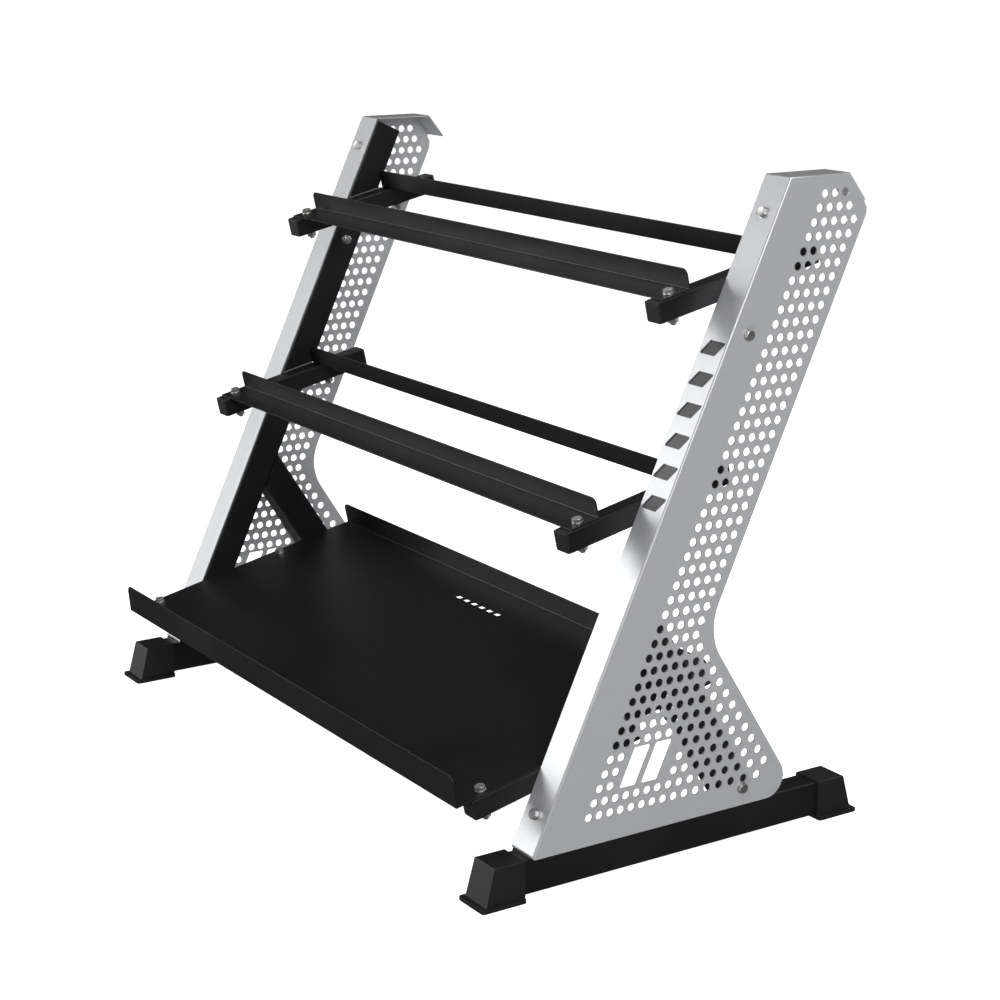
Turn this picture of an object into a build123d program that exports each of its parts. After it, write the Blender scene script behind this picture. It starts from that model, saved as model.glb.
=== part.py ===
from build123d import *
import math
import os

# A free-standing three-tier dumbbell rack of welded steel tube and folded sheet.
# Units are millimetres.  X runs along the rack, Y from front to back and Z up.
# The design is laid out from the middle of its base beams and then centred, so the finished
# origin lies on the floor under the middle of the rack's box.

# ---- posts, braces and base beams ----
POST_TUBE = 50.0            # square tube of the posts and the braces
POST_WALL = 2.0
POST_CORNER = 3.5
POST_X = 542.0              # middle of each post, brace, beam and foot
POST_SLOPE = 65.0           # lean of the posts, degrees above the floor
POST_TOP = 1021.7           # length along the lean from the floor to the post's square-cut top
BRACE_SLOPE = 57.7          # the brace leans the other way
BRACE_FOOT_Y = 122.8        # where the brace's centre line meets the top of the beam
BEAM_WIDTH = 40.0
BEAM_HEIGHT = 50.0
BEAM_LENGTH = 592.0
FOOT_FLOOR = 6.0            # plastic between the beam and the floor
BEAM_TOP = FOOT_FLOOR + BEAM_HEIGHT

# ---- feet ----
FOOT_START_Y = 253.0
FOOT_TOP_LENGTH = 47.5
FOOT_BASE_LENGTH = 63.0
FOOT_TOP_WIDTH = 49.5
FOOT_BASE_WIDTH = 52.0
FOOT_HEIGHT = 58.0
SOLE_LENGTH = 70.0
SOLE_WIDTH = 61.0
SOLE_THICKNESS = 5.5
SOLE_CORNER = 4.0

# ---- perforated side panels ----
SHEET = 2.0
FLANGE_Y_AT_FLOOR = -270.2  # where the front flange's outer face would meet the floor
FLANGE_WIDTH = 52.0
PANEL_TOP = 928.6
PANEL_BOTTOM = 55.0
FLANGE_BOTTOM = 57.5
PANEL_DEPTH = 148.1         # from the flange's face to the rear edge, square to the post
TOP_FLANGE_END_Y = 267.2
CHAMFER_END = (296.5, 892.1)
CHAMFER_NOTCH = (293.3, 888.5)
REAR_SHOULDER = (298.3, 879.5)
BRACE_EDGE = 207.6          # distance of the panel's lower rear edge from the layout origin
OUTER_BEND = 3.0
INNER_BEND = 1.0
MITRE_GAP = 1.0

# ---- perforation ----
HOLE = 12.0
HOLE_PITCH = 17.5
ROW_DROP = 18.76
FIRST_HOLE = (223.65, 903.0)
ROW_COUNT = 44
COLUMN_COUNT = 5
FIRST_WIDE_ROW = 32         # from here down the panel widens and each row gains a hole
LAST_HOLE_LINE = 186.8      # the wide rows end on this line, parallel to the brace
WINDOW_ROWS = (39, 40, 41)
WINDOW_COLUMNS = (2, 3, 4, 5, 6)
WINDOW_HEIGHT = 54.0
WINDOW_Z = 154.0
WINDOW_BARS_Y = (-77.0, -41.0)
WINDOW_BAR_WIDTH = 27.0
FLANGE_SLOT_COUNT = 6
FLANGE_SLOT_FIRST = 560.0
FLANGE_SLOT_PITCH = 44.0
FLANGE_SLOT_SIZE = (33.0, 20.0)

# ---- arms and tiers ----
ARM_TUBE = 30.0
ARM_WALL = 1.5
ARM_CORNER = 3.0
ARM_LENGTH = 278.0          # with the plastic cap at each end
ARM_TILT = 12.5
ARM_X = POST_X - POST_TUBE / 2 - ARM_TUBE / 2
CAP_HEAD = 4.0
CAP_PLUG = 12.0
CAP_WALL = 2.0
TIERS = {"top": (-11.0, 754.8), "middle": (-154.7, 462.9), "bottom": (-300.3, 120.8)}

# ---- rails and tray, measured back from the arm's front end ----
RAIL_HALF_LENGTH = 515.4
RAIL_HEIGHT = 30.0
RAIL_CORNER = 9.0
FRONT_RAIL = (11.0, 57.5)   # flat leg's front edge, standing leg's rear face
FRONT_RAIL_BOLT = 31.0
REAR_RAIL = (189.0, 226.0)  # standing leg's front face, flat leg's rear edge
REAR_RAIL_BOLT = 206.0
TRAY_SPAN = (-26.0, 406.3)
TRAY_HALF_LENGTH = 515.9
TRAY_FRONT_LIP = 46.5
TRAY_LIP_LEAN = 6.5         # the front lip leans back from square, degrees
TRAY_REAR_LIP = 37.0
TRAY_LIP_CORNER = 12.0
TRAY_BOLTS = (23.2, 257.3)
TRAY_SLOT_COUNT = 6
TRAY_SLOT_PITCH = 22.0
TRAY_SLOT_SIZE = (14.0, 7.0)
TRAY_SLOT_PLACE = 348.0

# ---- M8 hardware ----
BOLT = 8.0
BOLT_HOLE = 9.0
HEX_FLATS = 13.0
HEAD_HEIGHT = 5.3
NUT_HEIGHT = 6.5
NUT_BORE = 8.1
WASHER_OUTER = 16.0
WASHER_INNER = 8.4
WASHER_THICKNESS = 1.6
TIER_BOLT_LENGTH = 45.0
SIDE_BOLT_LENGTH = 65.0
FLANGE_BOLT_LENGTH = 20.0
FLANGE_BOLT_PLACES = (118.8, 971.1)     # along the lean from the floor
POST_BOLT_PLACE = 812.7
POST_BOLT_DEPTH = 27.0                  # behind the flange's face, on the post's middle
BRACE_BOLT = (108.6, 82.9)

SIDE = {"right": 1, "left": -1}


# ---- working planes ----
def leaning_plane(y, z, slope):
    """A plane with X along the rack and Y climbing towards the back at the given slope."""
    angle = math.radians(slope)
    return Plane(
        origin=(0, y, z), x_dir=(1, 0, 0), z_dir=(0, -math.sin(angle), math.cos(angle))
    )


# On the post plane Y runs up the post and Z points forward, out of the flange's outer face.
POST_PLANE = leaning_plane(FLANGE_Y_AT_FLOOR, 0, POST_SLOPE)
BRACE_PLANE = leaning_plane(BRACE_FOOT_Y, BEAM_TOP, 180 - BRACE_SLOPE)
# On a tier's plane Y runs back along the arm from its front end and Z is square to its top.
TIER_PLANES = {tier: leaning_plane(y, z, ARM_TILT) for tier, (y, z) in TIERS.items()}


def behind_flange(depth, z):
    """Y of the point at height z that lies the given depth behind the flange's outer face."""
    slope = math.radians(POST_SLOPE)
    return FLANGE_Y_AT_FLOOR + z / math.tan(slope) + depth / math.sin(slope)


def brace_line(distance, z):
    """Y at height z on the line parallel to the brace at the given distance from the origin."""
    slope = math.radians(BRACE_SLOPE)
    return (distance - z * math.cos(slope)) / math.sin(slope)


# ---- shared shapes ----
def tube(width, height, wall, corner, length):
    """A rounded rectangular tube along Y, from Y = 0."""
    outer = extrude(RectangleRounded(width, height, corner), length)
    inner = extrude(
        RectangleRounded(width - 2 * wall, height - 2 * wall, corner - wall), length
    )
    return Rot(-90, 0, 0) * (outer - inner)


def round_corner(face, point, radius):
    """The face with its corner nearest to the point rounded."""
    corner = face.vertices().sort_by_distance(point)[0]
    return fillet(corner, radius)


def slanted_slot(width, height, slope):
    """A parallelogram with level ends, centred on the origin, its long sides at the slope."""
    shift = height / 2 / math.tan(math.radians(slope))
    return make_face(Polyline(
        (-width / 2 - shift, -height / 2), (width / 2 - shift, -height / 2),
        (width / 2 + shift, height / 2), (-width / 2 + shift, height / 2), close=True,
    ))


def both_sides(part):
    """The right-hand piece and its left-hand mirror image as one group of solids."""
    return Compound(list(part.solids()) + list(mirror(part, about=Plane.YZ).solids()))


# ---- M8 hardware, standing on the XY plane ----
def hexagon(height):
    blank = extrude(RegularPolygon(HEX_FLATS / 2, 6, major_radius=False), height)
    return chamfer(blank.edges().group_by(Axis.Z)[-1], 0.6)


def bolt(length):
    return hexagon(HEAD_HEIGHT) + Pos(0, 0, -length) * extrude(Circle(BOLT / 2), length)


def washer():
    return extrude(Circle(WASHER_OUTER / 2) - Circle(WASHER_INNER / 2), WASHER_THICKNESS)


def nut():
    return hexagon(NUT_HEIGHT) - extrude(Circle(NUT_BORE / 2), NUT_HEIGHT)


def bolt_set(places, grip, length):
    """Bolts, washers under head and nut, and nuts; each place is the top of the joint."""
    bolts = []
    washers = []
    nuts = []
    for place in places:
        bolts.append(place * Pos(0, 0, WASHER_THICKNESS) * bolt(length))
        washers.append(place * washer())
        washers.append(place * Pos(0, 0, -grip - WASHER_THICKNESS) * washer())
        nut_height = -grip - WASHER_THICKNESS - NUT_HEIGHT
        nuts.append(place * Pos(0, 0, nut_height) * nut())
    return [both_sides(Compound(group)) for group in (bolts, washers, nuts)]


def drill(place, depth):
    """A bolt's clearance hole, running down from a little above the place."""
    return place * Pos(0, 0, -depth) * extrude(Circle(BOLT_HOLE / 2), depth + 5)


# ---- bolt places on the right-hand side ----
def tier_bolt_place(tier, behind_front):
    height = ARM_TUBE / 2 + SHEET
    return Location(TIER_PLANES[tier]) * Pos(ARM_X, behind_front, height)


FLANGE_BOLTS = [Location(POST_PLANE) * Pos(POST_X, place, 0) for place in FLANGE_BOLT_PLACES]
PANEL_OUTER_X = POST_X + POST_TUBE / 2 + SHEET
OUTWARD = Rot(0, 90, 0)
post_bolt_centre = (
    Location(POST_PLANE) * Pos(PANEL_OUTER_X, POST_BOLT_PLACE, -POST_BOLT_DEPTH)
).position
POST_BOLT = Pos(*post_bolt_centre) * OUTWARD
BRACE_BOLT_PLACE = Pos(PANEL_OUTER_X, *BRACE_BOLT) * OUTWARD
SIDE_DEPTH = SHEET + POST_TUBE + 5


# ---- frame tubes ----
def post():
    """Leaning post: cut level on the beam, square at its top, drilled for its bolts."""
    blank = tube(POST_TUBE, POST_TUBE, POST_WALL, POST_CORNER, POST_TOP)
    depth = SHEET + POST_TUBE / 2
    placed = POST_PLANE * Pos(POST_X, 0, -depth) * blank
    placed = split(placed, bisect_by=Plane.XY.offset(BEAM_TOP), keep=Keep.TOP)
    for place in FLANGE_BOLTS:
        placed -= drill(place, SHEET + POST_WALL + 5)
    return placed - drill(POST_BOLT, SIDE_DEPTH)


def brace():
    """Brace from the beam up to the back face of the post, cut flat at both ends."""
    blank = tube(POST_TUBE, POST_TUBE, POST_WALL, POST_CORNER, 600)
    placed = BRACE_PLANE * Pos(POST_X, -60, 0) * blank
    placed = split(placed, bisect_by=Plane.XY.offset(BEAM_TOP), keep=Keep.TOP)
    post_back = POST_PLANE.offset(-SHEET - POST_TUBE)
    placed = split(placed, bisect_by=post_back, keep=Keep.BOTTOM)
    return placed - drill(BRACE_BOLT_PLACE, SIDE_DEPTH)


def base_beam():
    blank = tube(BEAM_WIDTH, BEAM_HEIGHT, POST_WALL, POST_CORNER, BEAM_LENGTH)
    return Pos(POST_X, -BEAM_LENGTH / 2, FOOT_FLOOR + BEAM_HEIGHT / 2) * blank


def rear_foot():
    """Tapered cover with a wide sole, hollow where the end of the beam goes in."""
    base = Pos(0, FOOT_BASE_LENGTH / 2) * Rectangle(FOOT_BASE_WIDTH, FOOT_BASE_LENGTH)
    top = Pos(0, FOOT_TOP_LENGTH / 2) * Rectangle(FOOT_TOP_WIDTH, FOOT_TOP_LENGTH)
    body = loft([base, Pos(0, 0, FOOT_HEIGHT) * top])
    body = fillet(body.edges().group_by(Axis.Z)[-1], 2.0)
    sole = extrude(RectangleRounded(SOLE_WIDTH, SOLE_LENGTH, SOLE_CORNER), SOLE_THICKNESS)
    foot = body + Pos(0, SOLE_LENGTH / 2) * sole
    pocket = extrude(RectangleRounded(BEAM_WIDTH, BEAM_HEIGHT, POST_CORNER - 0.5), 60)
    beam_end = BEAM_LENGTH / 2 - FOOT_START_Y
    foot -= Pos(0, beam_end - 60, FOOT_FLOOR + BEAM_HEIGHT / 2) * Rot(-90, 0, 0) * pocket
    return Pos(POST_X, FOOT_START_Y) * foot


# ---- side panels ----
def panel_outline():
    front_foot = (behind_flange(0, PANEL_BOTTOM), PANEL_BOTTOM)
    front_top = (behind_flange(0, PANEL_TOP), PANEL_TOP)
    top_end = (TOP_FLANGE_END_Y, PANEL_TOP)
    shoulder_z = REAR_SHOULDER[1] - 13.6
    rear_top = (behind_flange(PANEL_DEPTH, shoulder_z), shoulder_z)
    waist_z = 320.4
    waist = (brace_line(BRACE_EDGE, waist_z), waist_z)
    rear_foot_corner = (brace_line(BRACE_EDGE, PANEL_BOTTOM), PANEL_BOTTOM)
    face = make_face(Polyline(
        front_foot, front_top, top_end, CHAMFER_END, CHAMFER_NOTCH, REAR_SHOULDER,
        rear_top, waist, rear_foot_corner, close=True,
    ))
    face = round_corner(face, waist, 80)
    face = round_corner(face, rear_foot_corner, 31)
    return round_corner(face, front_foot, 5)


def panel_hollow():
    """The space inside the folded edges, open at the back and the bottom."""
    run = (CHAMFER_END[0] - TOP_FLANGE_END_Y, CHAMFER_END[1] - PANEL_TOP)
    length = math.hypot(*run)
    outward = (-run[1] / length, run[0] / length)
    inner_top = PANEL_TOP - SHEET
    chamfer_start = TOP_FLANGE_END_Y - SHEET * math.tan(math.atan2(-run[1], run[0]) / 2)
    cut = [
        (CHAMFER_END[0] + reach * outward[0], CHAMFER_END[1] + reach * outward[1])
        for reach in (-SHEET, 30)
    ]
    return make_face(Polyline(
        (behind_flange(SHEET, -50), -50), (behind_flange(SHEET, inner_top), inner_top),
        (chamfer_start, inner_top), cut[0], cut[1], (450, 880), (450, -50), close=True,
    ))


def hole_centres():
    """Rows that follow the post, then widen until they also follow the brace."""
    for row in range(ROW_COUNT):
        z = FIRST_HOLE[1] - row * ROW_DROP
        first = FIRST_HOLE[0] - row * HOLE_PITCH / 2
        if row < FIRST_WIDE_ROW:
            for column in range(min(COLUMN_COUNT, row + 3)):
                yield first + column * HOLE_PITCH, z
            continue
        last_column = row - FIRST_WIDE_ROW + COLUMN_COUNT
        stretch = brace_line(LAST_HOLE_LINE, z) - first - last_column * HOLE_PITCH
        columns = last_column if row == ROW_COUNT - 1 else last_column + 1
        for column in range(columns):
            if row in WINDOW_ROWS and column in WINDOW_COLUMNS:
                continue
            yield first + column * HOLE_PITCH + stretch * (column / last_column) ** 4, z


def panel_cutouts():
    """All openings of the flat sheet: the perforation and the window of slanted bars."""
    holes = [Pos(y, z) * Circle(HOLE / 2) for y, z in hole_centres()]
    bar = slanted_slot(WINDOW_BAR_WIDTH, WINDOW_HEIGHT, POST_SLOPE)
    bar = fillet(bar.vertices(), 2.5)
    bars = [Pos(y, WINDOW_Z) * bar for y in WINDOW_BARS_Y]
    return Sketch() + holes + bars


def side_panel(slotted_flange):
    inner_x = PANEL_OUTER_X - FLANGE_WIDTH
    block = extrude(Plane.YZ.offset(inner_x) * panel_outline(), FLANGE_WIDTH)
    sheet_inner_x = PANEL_OUTER_X - SHEET
    hollow = extrude(Plane.YZ.offset(inner_x - 5) * panel_hollow(), FLANGE_WIDTH + 5 - SHEET)
    fold_points = [
        (behind_flange(0, 500), 500), (230, PANEL_TOP),
        ((TOP_FLANGE_END_Y + CHAMFER_END[0]) / 2, (PANEL_TOP + CHAMFER_END[1]) / 2),
    ]
    outer_folds = [
        block.edges().sort_by_distance((PANEL_OUTER_X, y, z))[0] for y, z in fold_points
    ]
    block = fillet(outer_folds, OUTER_BEND)
    inner_folds = [
        hollow.edges().sort_by_distance((sheet_inner_x, y, z))[0] for y, z in fold_points
    ]
    hollow = fillet(inner_folds, INNER_BEND)
    panel = block - hollow
    under_flange = Pos(inner_x - 5, 0, 0) * Box(
        FLANGE_WIDTH + 5 - SHEET, 600, FLANGE_BOTTOM, align=(Align.MIN, Align.CENTER, Align.MIN)
    )
    panel -= under_flange
    for corner_y, turn in ((behind_flange(0, PANEL_TOP), 32.5), (TOP_FLANGE_END_Y, -25.6)):
        gap = Box(FLANGE_WIDTH - 6, MITRE_GAP, 12)
        middle_x = inner_x + FLANGE_WIDTH / 2 - 3
        panel -= Pos(middle_x, corner_y, PANEL_TOP) * Rot(turn, 0, 0) * gap
    panel -= extrude(Plane.YZ.offset(sheet_inner_x - 1) * panel_cutouts(), SHEET + 2)
    for place in FLANGE_BOLTS:
        panel -= drill(place, SHEET + 2)
    for place in (POST_BOLT, BRACE_BOLT_PLACE):
        panel -= drill(place, SHEET + 2)
    if slotted_flange:
        slot = fillet(slanted_slot(*FLANGE_SLOT_SIZE, 55).vertices(), 2.0)
        for index in range(FLANGE_SLOT_COUNT):
            along = FLANGE_SLOT_FIRST + index * FLANGE_SLOT_PITCH
            cutter = extrude(POST_PLANE * Pos(POST_X, along, -SHEET - 1) * slot, SHEET + 2)
            panel -= cutter
    return panel


# ---- arms ----
def arm(tier, bolts):
    """Tilted arm with its tube ends set back for the caps and drilled through for its bolts."""
    length = ARM_LENGTH - 2 * CAP_HEAD
    blank = tube(ARM_TUBE, ARM_TUBE, ARM_WALL, ARM_CORNER, length)
    placed = TIER_PLANES[tier] * Pos(ARM_X, CAP_HEAD, 0) * blank
    for behind_front in bolts:
        placed -= drill(tier_bolt_place(tier, behind_front), ARM_TUBE + 10)
    return placed


def arm_cap(tier, behind_front, turn):
    """End cap: a rounded square head with a hollow plug inside the tube."""
    head = extrude(RectangleRounded(ARM_TUBE - 0.6, ARM_TUBE - 0.6, 2.8), CAP_HEAD)
    head = fillet(head.edges().group_by(Axis.Z)[0], 1.5)
    bore = ARM_TUBE - 2 * ARM_WALL - 0.4
    plug = RectangleRounded(bore, bore, 1.2)
    plug -= Rectangle(bore - 2 * CAP_WALL, bore - 2 * CAP_WALL)
    cap = head + Pos(0, 0, CAP_HEAD) * extrude(plug, CAP_PLUG)
    upright = Rot(0, 0, turn) * Rot(-90, 0, 0) * cap
    return TIER_PLANES[tier] * Pos(ARM_X, behind_front, 0) * upright


# ---- rails and tray ----
def leg_plate(place, height, corner):
    """Standing leg of a folded sheet: upright, thickness running back, ends rounded."""
    plate = Rectangle(2 * RAIL_HALF_LENGTH, height)
    plate = fillet(plate.vertices().group_by(Axis.Y)[-1], corner)
    return Pos(0, place + SHEET, ARM_TUBE / 2 + height / 2) * extrude(Rot(90, 0, 0) * plate, SHEET)


def fold_edges(part, place):
    """Lengthwise edges nearest to the given (Y, Z) line."""
    return part.edges().filter_by(Axis.X).sort_by_distance((0, *place))[0]


def rail(tier, span, standing_at, bolt_place):
    """Angle rail: flat leg on the arms, leg standing where the dumbbells lean."""
    flat = Rectangle(2 * RAIL_HALF_LENGTH, span[1] - span[0])
    flat = extrude(flat, SHEET)
    floor = ARM_TUBE / 2
    angle = Pos(0, (span[0] + span[1]) / 2, floor) * flat
    angle += leg_plate(standing_at, RAIL_HEIGHT, RAIL_CORNER)
    rear_fold = standing_at > span[0]
    outside = standing_at + SHEET if rear_fold else standing_at
    inside = standing_at if rear_fold else standing_at + SHEET
    angle = fillet(fold_edges(angle, (outside, floor)), OUTER_BEND)
    angle = fillet(fold_edges(angle, (inside, floor + SHEET)), INNER_BEND)
    placed = TIER_PLANES[tier] * angle
    place = tier_bolt_place(tier, bolt_place)
    for hole in (drill(place, SHEET + 2), mirror(drill(place, SHEET + 2), about=Plane.YZ)):
        placed -= hole
    return placed


def tray_section():
    """The tray's folded sheet seen from its end: leaning front lip, floor, rear lip."""
    front, rear = TRAY_SPAN
    bottom = ARM_TUBE / 2
    top = bottom + SHEET
    lean = math.radians(TRAY_LIP_LEAN)
    along = Vector(math.sin(lean), math.cos(lean))
    across = Vector(along.Y, -along.X)
    outer_fold = Vector(front, bottom)
    outer_rim = outer_fold + along * TRAY_FRONT_LIP
    inner_rim = outer_rim + across * SHEET
    inner_fold = inner_rim - along * ((inner_rim.Y - top) / along.Y)
    outline = [
        outer_fold, outer_rim, inner_rim, inner_fold, Vector(rear - SHEET, top),
        Vector(rear - SHEET, bottom + TRAY_REAR_LIP), Vector(rear, bottom + TRAY_REAR_LIP),
        Vector(rear, bottom),
    ]
    section = make_face(Polyline(*outline, close=True))
    for point, radius in (
        (outer_fold, OUTER_BEND), (inner_fold, INNER_BEND),
        (Vector(rear - SHEET, top), INNER_BEND), (Vector(rear, bottom), OUTER_BEND),
    ):
        section = round_corner(section, point, radius)
    return section


def tray():
    """Deep bottom tray with a front and a rear lip and a row of slanted slots."""
    floor = ARM_TUBE / 2
    across = Plane((-TRAY_HALF_LENGTH, 0, 0), x_dir=(0, 1, 0), z_dir=(1, 0, 0))
    pan = across * extrude(tray_section(), 2 * TRAY_HALF_LENGTH)
    lip_corners = pan.edges().filter_by(GeomType.LINE).filter_by(
        lambda edge: abs(edge.length - SHEET) < 0.01 and edge.center().Z > floor + 10
    )
    pan = fillet(lip_corners, TRAY_LIP_CORNER)
    slot = fillet(slanted_slot(*TRAY_SLOT_SIZE, 60).vertices(), 1.2)
    first = -TRAY_SLOT_PITCH * (TRAY_SLOT_COUNT - 1) / 2
    for index in range(TRAY_SLOT_COUNT):
        x = first + index * TRAY_SLOT_PITCH
        pan -= Pos(x, TRAY_SLOT_PLACE, floor - 1) * extrude(slot, SHEET + 2)
    placed = TIER_PLANES["bottom"] * pan
    for bolt_place in TRAY_BOLTS:
        hole = drill(tier_bolt_place("bottom", bolt_place), SHEET + 2)
        placed = placed - hole - mirror(hole, about=Plane.YZ)
    return placed


# ---- assembly ----
nodes = {}


def add_pair(name, part):
    """Adds a right-hand piece and its mirror image, named for their sides."""
    for side, sign in SIDE.items():
        nodes[name.format(side=side)] = part if sign > 0 else mirror(part, about=Plane.YZ)


nodes["right_side_panel"] = side_panel(slotted_flange=True)
nodes["left_side_panel"] = mirror(side_panel(slotted_flange=False), about=Plane.YZ)
add_pair("{side}_post", post())
add_pair("{side}_brace", brace())
add_pair("{side}_base_beam", base_beam())
foot = rear_foot()
add_pair("rear_{side}_foot", foot)
add_pair("front_{side}_foot", mirror(foot, about=Plane.XZ))

TIER_BOLTS = {
    "top": (FRONT_RAIL_BOLT, REAR_RAIL_BOLT),
    "middle": (FRONT_RAIL_BOLT, REAR_RAIL_BOLT),
    "bottom": TRAY_BOLTS,
}
for tier, bolts in TIER_BOLTS.items():
    add_pair(tier + "_{side}_arm", arm(tier, bolts))
    add_pair(tier + "_{side}_arm_front_cap", arm_cap(tier, 0, 0))
    add_pair(tier + "_{side}_arm_rear_cap", arm_cap(tier, ARM_LENGTH, 180))

joints = {"tray": [tier_bolt_place("bottom", place) for place in TRAY_BOLTS]}
for tier in ("top", "middle"):
    front_leg = FRONT_RAIL[1] - SHEET
    nodes[tier + "_front_rail"] = rail(tier, FRONT_RAIL, front_leg, FRONT_RAIL_BOLT)
    nodes[tier + "_rear_rail"] = rail(tier, REAR_RAIL, REAR_RAIL[0], REAR_RAIL_BOLT)
    joints[tier + "_front_rail"] = [tier_bolt_place(tier, FRONT_RAIL_BOLT)]
    joints[tier + "_rear_rail"] = [tier_bolt_place(tier, REAR_RAIL_BOLT)]
nodes["tray"] = tray()

for joint, places in joints.items():
    bolts, washers, nuts = bolt_set(places, SHEET + ARM_TUBE, TIER_BOLT_LENGTH)
    nodes[joint + "_bolts"] = bolts
    nodes[joint + "_washers"] = washers
    nodes[joint + "_nuts"] = nuts

for joint, place in (("post", POST_BOLT), ("brace", BRACE_BOLT_PLACE)):
    bolts, washers, nuts = bolt_set([place], SHEET + POST_TUBE, SIDE_BOLT_LENGTH)
    nodes[joint + "_side_bolts"] = bolts
    nodes[joint + "_side_washers"] = washers
    nodes[joint + "_side_nuts"] = nuts

above_flange = Pos(0, 0, WASHER_THICKNESS)
inside_post = Pos(0, 0, -SHEET - POST_WALL - NUT_HEIGHT)
flange_bolts = [place * above_flange * bolt(FLANGE_BOLT_LENGTH) for place in FLANGE_BOLTS]
flange_washers = [place * washer() for place in FLANGE_BOLTS]
weld_nuts = [place * inside_post * nut() for place in FLANGE_BOLTS]
nodes["flange_bolts"] = both_sides(Compound(flange_bolts))
nodes["flange_washers"] = both_sides(Compound(flange_washers))
nodes["flange_weld_nuts"] = both_sides(Compound(weld_nuts))

box = Compound(list(nodes.values())).bounding_box()
centring = Pos(0, -(box.min.Y + box.max.Y) / 2, 0)
os.makedirs("parts", exist_ok=True)
for name, part in nodes.items():
    export_step(centring * part, f"parts/{name}.step")
print(len(nodes), "nodes, box", box.size, "moved", centring.position.Y)
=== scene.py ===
import math

import bmesh
import bpy
from mathutils import Matrix, Vector
from mathutils.bvhtree import BVHTree


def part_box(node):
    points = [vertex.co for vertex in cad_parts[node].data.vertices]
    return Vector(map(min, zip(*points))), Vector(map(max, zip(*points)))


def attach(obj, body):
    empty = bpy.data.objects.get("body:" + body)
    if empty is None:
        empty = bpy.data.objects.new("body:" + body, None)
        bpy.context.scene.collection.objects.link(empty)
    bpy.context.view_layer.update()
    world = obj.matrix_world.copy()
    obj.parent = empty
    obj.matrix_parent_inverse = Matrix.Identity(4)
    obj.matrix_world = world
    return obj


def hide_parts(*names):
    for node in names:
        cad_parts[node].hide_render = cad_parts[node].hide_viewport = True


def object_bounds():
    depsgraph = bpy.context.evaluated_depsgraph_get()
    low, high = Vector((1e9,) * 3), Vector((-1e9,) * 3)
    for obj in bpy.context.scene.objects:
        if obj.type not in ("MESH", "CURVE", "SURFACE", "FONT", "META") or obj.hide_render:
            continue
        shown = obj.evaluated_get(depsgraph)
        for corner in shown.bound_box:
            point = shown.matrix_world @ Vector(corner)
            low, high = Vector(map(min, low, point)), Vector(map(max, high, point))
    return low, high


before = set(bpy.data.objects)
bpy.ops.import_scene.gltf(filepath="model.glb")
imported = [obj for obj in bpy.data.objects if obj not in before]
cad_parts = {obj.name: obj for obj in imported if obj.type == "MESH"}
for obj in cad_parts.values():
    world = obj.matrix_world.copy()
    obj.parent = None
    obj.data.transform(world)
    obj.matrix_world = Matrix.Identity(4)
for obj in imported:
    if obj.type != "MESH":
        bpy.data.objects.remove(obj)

# A three-tier dumbbell rack: silver powder-coated side panels, black powder-coated tube frame,
# rails and tray, black moulded feet and caps, bright zinc-plated bolts.  All lengths are metres.

CAD_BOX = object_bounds()
MM = 0.001
SAME_POINT = 0.002 * MM  # the CAD meshes repeat their points to within this
SHORT_EDGE = 0.05 * MM  # shorter edges are joined before edges are eased
ARM_TILT = math.radians(12.5)
POST_SLOPE = math.radians(65)

# Directions that the hardware and the welds follow
TIER_UP = Vector((0, -math.sin(ARM_TILT), math.cos(ARM_TILT)))
FLANGE_OUT = Vector((0, -math.sin(POST_SLOPE), math.cos(POST_SLOPE)))
POST_UP = Vector((0, math.cos(POST_SLOPE), math.sin(POST_SLOPE)))
OUTWARD = Vector((1, 0, 0))
UP = Vector((0, 0, 1))
BACK = Vector((0, 1, 0))


# ---------------------------------------------------------------- materials
def paint(code):
    """An sRGB hex colour as the linear colour that a shader socket takes."""
    channels = [int(code[i:i + 2], 16) / 255 for i in (1, 3, 5)]
    linear = [c / 12.92 if c <= 0.04045 else ((c + 0.055) / 1.055) ** 2.4 for c in channels]
    return (*linear, 1.0)


def add(tree, kind, inputs=None, **settings):
    """Adds a node; an input is given a value, or another node's output to be linked from."""
    made = tree.nodes.new(kind)
    for name, value in settings.items():
        setattr(made, name, value)
    for key, value in (inputs or {}).items():
        if isinstance(value, bpy.types.NodeSocket):
            tree.links.new(value, made.inputs[key])
        else:
            made.inputs[key].default_value = value
    return made


def new_material(name):
    material = bpy.data.materials.new(name)
    material.use_nodes = True
    material.node_tree.nodes.clear()
    return material, material.node_tree


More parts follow.
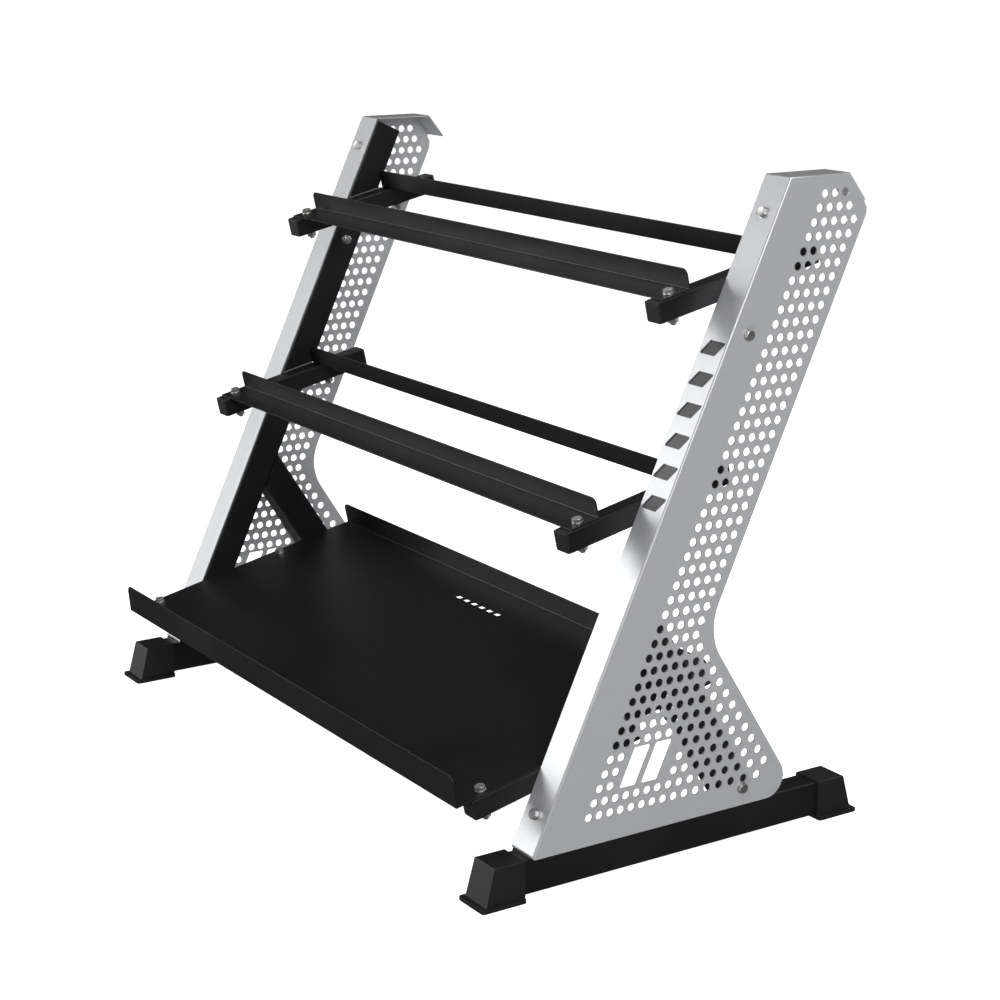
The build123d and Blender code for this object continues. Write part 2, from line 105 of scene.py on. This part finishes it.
def silver_powder_coat():
    """Polyester powder coat with aluminium flake: satin, bright where it faces the light, with
    a soft orange-peel skin and a fine sparkle."""
    material, tree = new_material("silver_polyester_powder_coat")
    where = add(tree, "ShaderNodeTexCoord").outputs["Object"]
    # flake is about 0.1 mm, drawn as 0.8 mm so that it shows
    flake = add(tree, "ShaderNodeTexNoise", {
        "Vector": where, "Scale": 1 / (0.8 * MM), "Detail": 1.0})
    drift = add(tree, "ShaderNodeTexNoise", {
        "Vector": where, "Scale": 1 / (140 * MM), "Detail": 3.0})
    spread = add(tree, "ShaderNodeMapRange", {
        "Value": flake.outputs["Fac"], "From Min": 0.30, "From Max": 0.72})
    base = add(tree, "ShaderNodeMix", {
        "Factor": spread.outputs["Result"], "A": paint("#B6B7B9"), "B": paint("#C2C3C5")},
        data_type="RGBA")
    toned = add(tree, "ShaderNodeMix", {
        "Factor": drift.outputs["Fac"], "A": base.outputs["Result"], "B": paint("#BCBDBF")},
        data_type="RGBA")
    gloss = add(tree, "ShaderNodeMapRange", {
        "Value": flake.outputs["Fac"], "From Min": 0.3, "From Max": 0.7, "To Min": 0.36,
        "To Max": 0.44})
    # orange peel waves about 2.5 mm apart
    peel = add(tree, "ShaderNodeTexNoise", {
        "Vector": where, "Scale": 1 / (2.5 * MM), "Detail": 2.0})
    skin = add(tree, "ShaderNodeBump", {
        "Strength": 0.25, "Distance": 0.02 * MM, "Height": peel.outputs["Fac"]})
    grain = add(tree, "ShaderNodeBump", {
        "Strength": 0.2, "Distance": 0.01 * MM, "Height": flake.outputs["Fac"],
        "Normal": skin.outputs["Normal"]})
    shader = add(tree, "ShaderNodeBsdfPrincipled", {
        "Base Color": toned.outputs["Result"], "Metallic": 0.5,
        "Roughness": gloss.outputs["Result"],
        "IOR": 1.5, "Normal": grain.outputs["Normal"], "Coat Weight": 0.12, "Coat Roughness": 0.2})
    add(tree, "ShaderNodeOutputMaterial", {"Surface": shader.outputs["BSDF"]})
    return material


def black_powder_coat():
    """Polyester powder coat, black: satin with the fine even grain of a sprayed and baked skin."""
    material, tree = new_material("black_polyester_powder_coat")
    where = add(tree, "ShaderNodeTexCoord").outputs["Object"]
    # grain pits about 0.6 mm apart
    pits = add(tree, "ShaderNodeTexVoronoi", {"Vector": where, "Scale": 1 / (0.6 * MM)})
    peel = add(tree, "ShaderNodeTexNoise", {"Vector": where, "Scale": 1 / (3 * MM), "Detail": 2.0})
    drift = add(tree, "ShaderNodeTexNoise", {
        "Vector": where, "Scale": 1 / (180 * MM), "Detail": 3.0})
    spread = add(tree, "ShaderNodeMapRange", {
        "Value": drift.outputs["Fac"], "From Min": 0.35, "From Max": 0.65})
    tone = add(tree, "ShaderNodeMix", {
        "Factor": spread.outputs["Result"], "A": paint("#0E0E0F"), "B": paint("#141415")},
        data_type="RGBA")
    gloss = add(tree, "ShaderNodeMapRange", {
        "Value": drift.outputs["Fac"], "From Min": 0.3, "From Max": 0.7, "To Min": 0.34,
        "To Max": 0.42})
    skin = add(tree, "ShaderNodeBump", {
        "Strength": 0.3, "Distance": 0.03 * MM, "Height": peel.outputs["Fac"]})
    grain = add(tree, "ShaderNodeBump", {
        "Strength": 0.3, "Distance": 0.015 * MM, "Height": pits.outputs["Distance"],
        "Normal": skin.outputs["Normal"]})
    shader = add(tree, "ShaderNodeBsdfPrincipled", {
        "Base Color": tone.outputs["Result"], "Metallic": 0.0, "Roughness": gloss.outputs["Result"],
        "IOR": 1.5, "Normal": grain.outputs["Normal"]})
    add(tree, "ShaderNodeOutputMaterial", {"Surface": shader.outputs["BSDF"]})
    return material


def moulded_polypropylene():
    """Black polypropylene, injection moulded: matt, with the spark-eroded texture of its tool."""
    material, tree = new_material("moulded_polypropylene")
    where = add(tree, "ShaderNodeTexCoord").outputs["Object"]
    # tool texture about 0.9 mm across
    spark = add(tree, "ShaderNodeTexNoise", {
        "Vector": where, "Scale": 1 / (0.9 * MM), "Detail": 4.0, "Roughness": 0.6})
    spread = add(tree, "ShaderNodeMapRange", {
        "Value": spark.outputs["Fac"], "From Min": 0.35, "From Max": 0.7})
    tone = add(tree, "ShaderNodeMix", {
        "Factor": spread.outputs["Result"], "A": paint("#101011"), "B": paint("#171719")},
        data_type="RGBA")
    gloss = add(tree, "ShaderNodeMapRange", {
        "Value": spark.outputs["Fac"], "From Min": 0.3, "From Max": 0.7, "To Min": 0.50,
        "To Max": 0.62})
    texture = add(tree, "ShaderNodeBump", {
        "Strength": 0.5, "Distance": 0.05 * MM, "Height": spark.outputs["Fac"]})
    shader = add(tree, "ShaderNodeBsdfPrincipled", {
        "Base Color": tone.outputs["Result"], "Roughness": gloss.outputs["Result"], "IOR": 1.49,
        "Normal": texture.outputs["Normal"]})
    add(tree, "ShaderNodeOutputMaterial", {"Surface": shader.outputs["BSDF"]})
    return material


def zinc_plate():
    """Bright zinc plate on cold-forged steel: clear metal with faint forging and barrel marks."""
    material, tree = new_material("zinc_plate")
    where = add(tree, "ShaderNodeTexCoord").outputs["Object"]
    # barrel-plating mottle about 1.5 mm across, fine scratches 0.3 mm apart
    mottle = add(tree, "ShaderNodeTexNoise", {
        "Vector": where, "Scale": 1 / (1.5 * MM), "Detail": 3.0})
    stretched = add(tree, "ShaderNodeMapping", {"Vector": where, "Scale": (1.0, 1.0, 0.15)})
    scratch = add(tree, "ShaderNodeTexNoise", {
        "Vector": stretched.outputs["Vector"], "Scale": 1 / (0.3 * MM), "Detail": 2.0})
    spread = add(tree, "ShaderNodeMapRange", {
        "Value": mottle.outputs["Fac"], "From Min": 0.35, "From Max": 0.65})
    tone = add(tree, "ShaderNodeMix", {
        "Factor": spread.outputs["Result"], "A": paint("#D9DADB"), "B": paint("#E6E5E2")},
        data_type="RGBA")
    gloss = add(tree, "ShaderNodeMapRange", {
        "Value": mottle.outputs["Fac"], "From Min": 0.3, "From Max": 0.7, "To Min": 0.38,
        "To Max": 0.50})
    marks = add(tree, "ShaderNodeBump", {
        "Strength": 0.25, "Distance": 0.02 * MM, "Height": scratch.outputs["Fac"]})
    shader = add(tree, "ShaderNodeBsdfPrincipled", {
        "Base Color": tone.outputs["Result"], "Metallic": 1.0, "Roughness": gloss.outputs["Result"],
        "Normal": marks.outputs["Normal"]})
    add(tree, "ShaderNodeOutputMaterial", {"Surface": shader.outputs["BSDF"]})
    return material


SILVER = silver_powder_coat()
BLACK = black_powder_coat()
PLASTIC = moulded_polypropylene()
ZINC = zinc_plate()


# ---------------------------------------------------------------- placing and reading
def put_in_scene(name, data):
    """An object of the data, at the origin."""
    made = bpy.data.objects.new(name, data)
    bpy.context.scene.collection.objects.link(made)
    return made


def finished_mesh(name, bm, material):
    """The bmesh as a mesh with its material on; frees the bmesh."""
    mesh = bpy.data.meshes.new(name)
    bm.to_mesh(mesh)
    bm.free()
    mesh.materials.append(material)
    return mesh


def place_piece(name, bm, material, replaced=(), smooth=35):
    """Makes a piece of the bmesh and lets it ride on the rack."""
    mesh = finished_mesh(name, bm, material)
    for polygon in mesh.polygons:
        polygon.use_smooth = True
    mesh.set_sharp_from_angle(angle=math.radians(smooth))
    piece = put_in_scene(name, mesh)
    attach(piece, "root")
    if replaced:
        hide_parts(*replaced)
    return piece


def merged_copy(node, nearest=SAME_POINT):
    """The CAD node's mesh with its loose triangles joined into one skin."""
    bm = bmesh.new()
    bm.from_mesh(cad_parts[node].data)
    bmesh.ops.remove_doubles(bm, verts=bm.verts, dist=nearest)
    return bm


def connected(edges):
    """Sorts edges into groups that touch, in the order of each group's first edge."""
    waiting = set(edges)
    for first in edges:
        if first not in waiting:
            continue
        waiting.discard(first)
        stack = [first]
        group = []
        while stack:
            edge = stack.pop()
            group.append(edge)
            for near in (e for v in edge.verts for e in v.link_edges if e in waiting):
                waiting.discard(near)
                stack.append(near)
        yield group


def extent(edges, way):
    """How far a group of edges reaches, lowest and highest, along a direction."""
    reach = [vert.co.dot(way) for edge in edges for vert in edge.verts]
    return min(reach), max(reach)


def ease_edges(bm, width, smallest=0.0, angle=40):
    """Rounds the edges that turn by more than the angle, as a sprayed coat leaves them.  Rims
    smaller than the smallest size stay crisp."""
    sharp = [
        e for e in bm.edges
        if len(e.link_faces) == 2 and e.calc_face_angle(0) > math.radians(angle)
    ]
    eased = []
    for rim in connected(sharp):
        spans = [extent(rim, way) for way in Matrix.Identity(3)]
        if max(high - low for low, high in spans) > smallest:
            eased.extend(rim)
    skin = BVHTree.FromBMesh(bm)
    bmesh.ops.bevel(
        bm, geom=eased, offset=width, offset_type="OFFSET", segments=2, profile=0.5,
        affect="EDGES", clamp_overlap=False, material=-1)
    # a corner between edges that are almost in line can shoot out: it goes back to the skin
    for vert in bm.verts:
        spot, _, _, gap = skin.find_nearest(vert.co)
        if gap > width:
            vert.co = spot


def even_shading(piece):
    """Large flat faces decide the shading, and the narrow eased edges blend into them."""
    weigh = piece.modifiers.new("even_shading", "WEIGHTED_NORMAL")
    weigh.keep_sharp = True


def coated(node, material, width, smallest=0.0):
    """The CAD node with its edges eased and its finish on."""
    bm = merged_copy(node, SHORT_EDGE)
    ease_edges(bm, width, smallest)
    even_shading(place_piece(node + "_skin", bm, material, [node]))


def solids_along(node, axis):
    """For each solid of a node: its middle line's foot, and its lowest and highest place along
    the axis."""
    bm = merged_copy(node)
    side = axis.cross(Vector((0.3, 0.5, 0.8))).normalized()
    other = axis.cross(side)
    found = []
    for solid in connected(bm.edges):
        low, high = extent(solid, axis)
        foot = sum((way * sum(extent(solid, way)) / 2 for way in (side, other)), Vector())
        found.append((foot, low, high))
    bm.free()
    return found


def stand(bm, foot, axis, height, turn=0.0):
    """Stands a shape modelled up Z on a middle line, its Z = 0 at the height along the axis."""
    upright = UP.rotation_difference(axis).to_matrix().to_4x4()
    move = Matrix.Translation(foot + axis * height) @ upright @ Matrix.Rotation(turn, 4, "Z")
    bmesh.ops.transform(bm, matrix=move, verts=bm.verts)


def join_into(target, source):
    """Adds one bmesh to another and frees it."""
    mesh = bpy.data.meshes.new("joined")
    source.to_mesh(mesh)
    source.free()
    target.from_mesh(mesh)
    bpy.data.meshes.remove(mesh)


# ---------------------------------------------------------------- M8 hardware
# Radii, except where a name says otherwise.
FLATS = 13 * MM                # across the flats
CHAMFER_START = 6.2 * MM
CHAMFER_SLOPE = math.tan(math.radians(30))
HEX_CUTS = 5
HEAD_HEIGHT = 5.3 * MM
CROWN_DISH = 4.6 * MM
CROWN_DEPTH = 0.25 * MM        # how far the dish sinks
FACE_TOP = 6.1 * MM            # the washer face under the head
FACE_FOOT = 6.0 * MM
FACE_HEIGHT = 0.4 * MM
SHANK = 4 * MM
THREAD_PITCH = 1.25 * MM
THREAD_DEPTH = 0.65 * MM
NUT_HEIGHT = 6.5 * MM
NUT_BORE = 4.05 * MM
COUNTERSINK = 0.4 * MM
WASHER_BORE = 4.2 * MM
WASHER_RIM = 8.0 * MM
WASHER_HEIGHT = 1.6 * MM
WASHER_EASE = 0.3 * MM
SEAM = 0.01 * MM               # a spun shape's ends meet to within this
# each fastener is tightened to an angle of its own, in radians
FIRST_TURN = 0.35
TURN_STEP = 0.9
# length of the bolt below its head, and of its thread
TIER_BOLT = (45 * MM, 14 * MM)
SIDE_BOLT = (65 * MM, 16 * MM)
FLANGE_BOLT = (20 * MM, 12 * MM)


def hexagon_ring(bm, height):
    """Starts a bmesh with a hexagon of points at a height, its flats divided so that their
    chamfers can curve."""
    bmesh.ops.create_circle(bm, cap_ends=False, segments=6, radius=FLATS / math.sqrt(3))
    bmesh.ops.subdivide_edges(bm, edges=list(bm.edges), cuts=HEX_CUTS)
    bmesh.ops.translate(bm, vec=(0, 0, height), verts=bm.verts)
    return list(bm.edges)


def drawn_up(bm, edges, height, radius=None, top=None):
    """Extrudes a ring of edges: to a height, to a round of the radius, or under a chamfer."""
    made = bmesh.ops.extrude_edge_only(bm, edges=edges)["geom"]
    verts = [g for g in made if isinstance(g, bmesh.types.BMVert)]
    for vert in verts:
        flat = Vector((vert.co.x, vert.co.y))
        if radius is not None:
            flat = flat.normalized() * radius
        drop = 0.0
        if top is not None:
            drop = max(0.0, flat.length - CHAMFER_START) * CHAMFER_SLOPE * top
        vert.co = (flat.x, flat.y, height - drop)
    return [g for g in made if isinstance(g, bmesh.types.BMEdge)]


def hex_bolt(length, threaded):
    """Hex head with a chamfered crown and washer face, plain shank, and rolled thread below."""
    bm = bmesh.new()
    ring = hexagon_ring(bm, FACE_HEIGHT)
    crown = drawn_up(bm, ring, HEAD_HEIGHT, top=1)
    crown = drawn_up(bm, crown, HEAD_HEIGHT, radius=CHAMFER_START)
    crown = drawn_up(bm, crown, HEAD_HEIGHT - CROWN_DEPTH, radius=CROWN_DISH)
    bmesh.ops.contextual_create(bm, geom=crown)
    under = drawn_up(bm, ring, FACE_HEIGHT, radius=FACE_TOP)
    under = drawn_up(bm, under, 0.0, radius=FACE_FOOT)
    shank = drawn_up(bm, under, 0.0, radius=SHANK)
    thread_top = -(length - threaded)
    shank = drawn_up(bm, shank, thread_top, radius=SHANK)
    for turn in range(int(threaded / THREAD_PITCH) - 1):
        level = thread_top - (turn + 0.5) * THREAD_PITCH
        shank = drawn_up(bm, shank, level, radius=SHANK - THREAD_DEPTH)
        shank = drawn_up(bm, shank, level - THREAD_PITCH / 2, radius=SHANK)
    tip = drawn_up(bm, shank, -length, radius=SHANK - THREAD_DEPTH)
    bmesh.ops.contextual_create(bm, geom=tip)
    bmesh.ops.recalc_face_normals(bm, faces=bm.faces)
    return bm


def hex_nut():
    """Nut chamfered on both faces, with a countersunk bore."""
    bm = bmesh.new()
    middle = hexagon_ring(bm, NUT_HEIGHT / 2)
    ends = []
    for level, sign in ((0.0, -1), (NUT_HEIGHT, 1)):
        rim = drawn_up(bm, middle, level, top=sign)
        rim = drawn_up(bm, rim, level, radius=CHAMFER_START)
        rim = drawn_up(bm, rim, level, radius=NUT_BORE + COUNTERSINK)
        ends.append(drawn_up(bm, rim, level - sign * COUNTERSINK, radius=NUT_BORE))
    bmesh.ops.bridge_loops(bm, edges=ends[0] + ends[1])
    bmesh.ops.recalc_face_normals(bm, faces=bm.faces)
    return bm


def flat_washer():
    """Pressed washer with softly rounded rims."""
    bm = bmesh.new()
    middle = (WASHER_BORE + WASHER_RIM) / 2
    bmesh.ops.create_grid(bm, x_segments=1, y_segments=1, size=1)
    scale = Vector(((WASHER_RIM - WASHER_BORE) / 2, WASHER_HEIGHT / 2, 1))
    bmesh.ops.scale(bm, vec=scale, verts=bm.verts)
    bmesh.ops.rotate(bm, matrix=Matrix.Rotation(math.pi / 2, 3, "X"), verts=bm.verts)
    bmesh.ops.translate(bm, vec=(middle, 0, WASHER_HEIGHT / 2), verts=bm.verts)
    bmesh.ops.bevel(
        bm, geom=list(bm.verts), offset=WASHER_EASE, segments=2, profile=0.5, affect="VERTICES",
        material=-1)
    bmesh.ops.delete(bm, geom=list(bm.faces), context="FACES_ONLY")
    bmesh.ops.spin(
        bm, geom=list(bm.verts) + list(bm.edges), axis=(0, 0, 1), cent=(0, 0, 0),
        angle=2 * math.pi, steps=40, use_merge=True)
    bmesh.ops.remove_doubles(bm, verts=bm.verts, dist=SEAM)
    bmesh.ops.recalc_face_normals(bm, faces=bm.faces)
    return bm


def hardware(node, shape, axis, top_is_base=False, flip_left=False):
    """Replaces each simple CAD fastener of a node by the detailed shape, in the same seat."""
    whole = bmesh.new()
    for index, (foot, low, high) in enumerate(solids_along(node, axis)):
        piece = shape()
        on_left = flip_left and low < 0
        way = -axis if on_left else axis
        base = -high if on_left else low
        if top_is_base:
            base = (-low if on_left else high) - HEAD_HEIGHT
        stand(piece, foot, way, base, turn=FIRST_TURN + TURN_STEP * index)
        join_into(whole, piece)
    return place_piece(node + "_detailed", whole, ZINC, [node], smooth=25)


ON_ARMS = ("top_front_rail", "top_rear_rail", "middle_front_rail", "middle_rear_rail", "tray")
for joint in ON_ARMS:
    hardware(joint + "_bolts", lambda: hex_bolt(*TIER_BOLT), TIER_UP, top_is_base=True)
    hardware(joint + "_washers", flat_washer, TIER_UP)
    hardware(joint + "_nuts", hex_nut, TIER_UP)
for joint in ("post_side", "brace_side"):
    hardware(
        joint + "_bolts", lambda: hex_bolt(*SIDE_BOLT), OUTWARD, top_is_base=True, flip_left=True)
    hardware(joint + "_washers", flat_washer, OUTWARD)
    hardware(joint + "_nuts", hex_nut, OUTWARD)
hardware("flange_bolts", lambda: hex_bolt(*FLANGE_BOLT), FLANGE_OUT, top_is_base=True)
hardware("flange_washers", flat_washer, FLANGE_OUT)
hardware("flange_weld_nuts", hex_nut, FLANGE_OUT)


# ---------------------------------------------------------------- frame, panels, rails and tray
SHEET_EASE = 0.45 * MM
TUBE_EASE = 0.5 * MM
CAP_EASE = 0.5 * MM
PERFORATION = 13.5 * MM        # smaller rims, the punched holes, stay crisp

for side in ("right", "left"):
    coated(side + "_side_panel", SILVER, SHEET_EASE, smallest=PERFORATION)
    for tube in ("post", "brace", "base_beam"):
        coated(f"{side}_{tube}", BLACK, TUBE_EASE)
    for tier in ("top", "middle", "bottom"):
        coated(f"{tier}_{side}_arm", BLACK, TUBE_EASE)
        for end in ("front", "rear"):
            coated(f"{tier}_{side}_arm_{end}_cap", PLASTIC, CAP_EASE)
for rail in ON_ARMS:
    coated(rail, BLACK, SHEET_EASE)


# ---------------------------------------------------------------- painted weld beads
BEAD = 2.6 * MM                # radius at the crest of a ripple
BEAD_DIP = 0.82 * BEAD
BEAD_TIP = 0.4 * BEAD
RIPPLE = 2.4 * MM
CORNER_CLEAR = 5 * MM          # beads stop short of a tube's rounded corners
END_CLEAR = 2 * MM
ON_PLANE = 0.3 * MM


def weld_bead(whole, start, end):
    """Adds a weld of overlapping ripples, rounded off at both ends, from point to point."""
    bead = bmesh.new()
    bmesh.ops.create_circle(bead, cap_ends=True, segments=8, radius=BEAD_TIP)
    ring = list(bead.edges)
    run = end - start
    ripples = round(run.length / RIPPLE)
    pitch = run.length / ripples
    for ripple in range(ripples):
        ring = drawn_up(bead, ring, (ripple + 0.3) * pitch, radius=BEAD)
        ring = drawn_up(bead, ring, (ripple + 0.9) * pitch, radius=BEAD_DIP)
    tip = drawn_up(bead, ring, run.length, radius=BEAD_TIP)
    bmesh.ops.contextual_create(bead, geom=tip)
    bmesh.ops.recalc_face_normals(bead, faces=bead.faces)
    stand(bead, start, run.normalized(), 0.0)
    join_into(whole, bead)


def crossing(x, up, tier, out, level):
    """The point at a given X where a plane across the tier meets a plane along the post."""
    rows = Matrix(((1, 0, 0), up, out))
    return rows.inverted() @ Vector((x, tier, level))


def ends_of(node, way):
    """How far a node reaches along a direction."""
    reach = [v.co.dot(way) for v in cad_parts[node].data.vertices]
    return min(reach), max(reach)


def ends_on(node, normal, level, way):
    """Where a tube's cut end, lying on a plane, begins and stops along a direction."""
    points = [v.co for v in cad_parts[node].data.vertices]
    spots = [p.dot(way) for p in points if abs(p.dot(normal) - level) < ON_PLANE]
    return min(spots), max(spots)


def weld_across(whole, node, normal, level, way):
    """Welds the front and back edges of a tube's cut end to the face that it stands on."""
    low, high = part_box(node)
    for spot in ends_on(node, normal, level, way):
        middle = normal * level + way * spot
        start, end = middle.copy(), middle.copy()
        start.x, end.x = low.x + CORNER_CLEAR, high.x - CORNER_CLEAR
        weld_bead(whole, start, end)


def weld_arm(whole, side, tier):
    """Welds an arm to its post's inner face, along the arm's top and bottom edges."""
    arm, post = f"{tier}_{side}_arm", side + "_post"
    inner = min(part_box(post), key=lambda corner: abs(corner.x)).x
    fronts = ends_of(post, FLANGE_OUT)
    for edge in ends_of(arm, TIER_UP):
        start, end = (crossing(inner, TIER_UP, edge, FLANGE_OUT, level) for level in fronts)
        inset = (end - start).normalized() * END_CLEAR
        weld_bead(whole, start + inset, end - inset)


BEAM_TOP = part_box("right_base_beam")[1].z
for side in ("right", "left"):
    beads = bmesh.new()
    for tier in ("top", "middle", "bottom"):
        weld_arm(beads, side, tier)
    post_back = ends_of(side + "_post", FLANGE_OUT)[0]
    weld_across(beads, side + "_brace", FLANGE_OUT, post_back, POST_UP)
    for tube in ("post", "brace"):
        weld_across(beads, f"{side}_{tube}", UP, BEAM_TOP, BACK)
    place_piece(side + "_weld_beads", beads, BLACK)


# ---------------------------------------------------------------- feet
FOOT_EASE = 0.4 * MM
SOLE = 5.5 * MM                # height of the sole's rim
RIB_PITCH = 3.4 * MM
RIB_FOOT = 0.95 * MM           # radius
RIB_TOP = 0.75 * MM
RIB_HEIGHT = SOLE - 0.6 * MM
RIB_SINK = 0.21 * MM           # its middle line lies this far inside the rim
RIB_CLEAR = 10 * MM            # both corners of a side together


def sole_ribs(node):
    """Upright gripping ribs round the sole's edge."""
    low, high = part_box(node)
    middle = (low + high) / 2
    whole = bmesh.new()
    for across, along in ((0, 1), (1, 0)):
        span = high[along] - low[along] - RIB_CLEAR
        count = int(span / RIB_PITCH)
        for line in (low[across] + RIB_SINK, high[across] - RIB_SINK):
            for index in range(count + 1):
                rib = bmesh.new()
                bmesh.ops.create_cone(
                    rib, cap_ends=True, segments=8, radius1=RIB_FOOT, radius2=RIB_TOP,
                    depth=RIB_HEIGHT)
                spot = Vector((0, 0, SOLE / 2))
                spot[across] = line
                spot[along] = middle[along] + (index - count / 2) * RIB_PITCH
                bmesh.ops.translate(rib, vec=spot, verts=rib.verts)
                join_into(whole, rib)
    return whole


for end in ("front", "rear"):
    for side in ("right", "left"):
        node = f"{end}_{side}_foot"
        body = merged_copy(node)
        ease_edges(body, FOOT_EASE)
        join_into(body, sole_ribs(node))
        even_shading(place_piece(node + "_moulded", body, PLASTIC, [node]))


# ---------------------------------------------------------------- camera, light and floor
CAMERA_PLACE = (2.8095, -1.7498, 1.2512)
CAMERA_AZIMUTH = math.radians(56.89)
CAMERA_PITCH = math.radians(14.59)
CAMERA_LENS = 79.76
FILM_WIDTH = 36                # this and the lens in true millimetres
FAR_CLIP = 50
BACKDROP_SEEN = 1.0
BACKDROP_LIGHT = 0.05
FLOOR_GLOW = 0.98
FLOOR_REACH = 30
FLOOR_DROP = 0.1 * MM          # just under the soles

camera_data = bpy.data.cameras.new("camera")
camera_data.lens = CAMERA_LENS
camera_data.sensor_width = FILM_WIDTH
camera_data.clip_end = FAR_CLIP
camera = put_in_scene("camera", camera_data)
camera.location = CAMERA_PLACE
camera.rotation_euler = (math.pi / 2 - CAMERA_PITCH, 0, CAMERA_AZIMUTH)
bpy.context.scene.camera = camera


def soft_box(name, place, size, power):
    """A square studio soft box that points at the middle of the rack."""
    data = bpy.data.lights.new(name, "AREA")
    data.shape = "SQUARE"
    data.size = size
    data.energy = power
    lamp = put_in_scene(name, data)
    lamp.location = place
    middle = (CAD_BOX[0] + CAD_BOX[1]) / 2
    lamp.rotation_euler = (Vector(place) - middle).to_track_quat("Z", "Y").to_euler()
    lamp.visible_camera = False


soft_box("front_key", (-3.5, -3.8, 1.5), 3.2, 150)
soft_box("right_fill", (5.2, -1.8, 3.4), 2.8, 232)
soft_box("overhead", (0.2, 0.2, 3.2), 2.4, 22)
soft_box("rear_fill", (0.3, 3.6, 1.9), 2.0, 45)


def studio_world():
    """A white backdrop on all sides.  As a light it is dim, so that black paint stays black."""
    world = bpy.data.worlds.new("studio")
    world.use_nodes = True
    tree = world.node_tree
    tree.nodes.clear()
    seen = add(tree, "ShaderNodeLightPath").outputs["Is Camera Ray"]
    strength = add(tree, "ShaderNodeMapRange", {
        "Value": seen, "To Min": BACKDROP_LIGHT, "To Max": BACKDROP_SEEN})
    glow = add(tree, "ShaderNodeBackground", {
        "Color": paint("#FFFFFF"), "Strength": strength.outputs["Result"]})
    add(tree, "ShaderNodeOutputWorld", {"Surface": glow.outputs["Background"]})
    bpy.context.scene.world = world


def studio_floor():
    """A pale light table: it glows softly, so shadows on it stay faint."""
    material, tree = new_material("light_table_acrylic")
    shader = add(tree, "ShaderNodeBsdfPrincipled", {
        "Base Color": paint("#E8E8E8"), "Roughness": 1.0, "Specular IOR Level": 0.0,
        "Emission Color": paint("#FFFFFF"), "Emission Strength": FLOOR_GLOW})
    add(tree, "ShaderNodeOutputMaterial", {"Surface": shader.outputs["BSDF"]})
    bm = bmesh.new()
    bmesh.ops.create_grid(bm, x_segments=1, y_segments=1, size=FLOOR_REACH)
    bmesh.ops.translate(bm, vec=(0, 0, -FLOOR_DROP), verts=bm.verts)
    floor = put_in_scene("studio_floor", finished_mesh("studio_floor", bm, material))
    floor.visible_glossy = False


studio_world()
studio_floor()
bpy.context.scene.view_settings.view_transform = "Standard"
